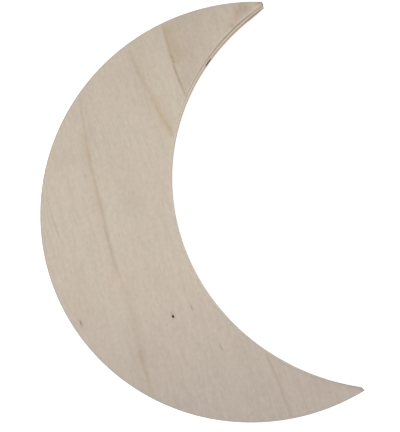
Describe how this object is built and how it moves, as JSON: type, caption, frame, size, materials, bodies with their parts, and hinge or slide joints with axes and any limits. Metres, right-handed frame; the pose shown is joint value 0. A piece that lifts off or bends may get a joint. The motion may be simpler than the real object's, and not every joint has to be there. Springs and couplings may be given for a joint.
{
  "type": "moon cutout",
  "caption": "Flat crescent moon sawn from thin unfinished plywood, with pointed horns and plain square edges, for painting or hanging as a decoration.",
  "frame": {"origin": "middle of the outline's bounding box, at the level of the back face", "axes": "+Z out of the front face, +Y from the lower horn towards the upper horn, +X the way that both horns point"},
  "size_m": [0.1012, 0.1524, 0.0063],
  "materials": {
    "front_veneer": "raw pale hardwood veneer, sanded, with faint growth lines along its length",
    "back_veneer": "raw pale hardwood veneer, sanded, plainer than the front",
    "crossband": "raw veneer laid across the moon, so that its end grain shows darker along the horns",
    "core_veneer": "raw pale veneer laid along the moon",
    "cured_glue": "thin brown line of cured wood glue"
  },
  "bodies": {
    "root": {"back_face_veneer": "back_veneer", "back_glue_film": "cured_glue", "rear_crossband_lower_strip": "crossband", "rear_crossband_upper_strip": "crossband", "rear_core_glue_film": "cured_glue", "core_veneer": "core_veneer", "front_core_glue_film": "cured_glue", "front_crossband": "crossband", "front_glue_film": "cured_glue", "front_face_veneer": "front_veneer"}
  },
  "joints": []
}
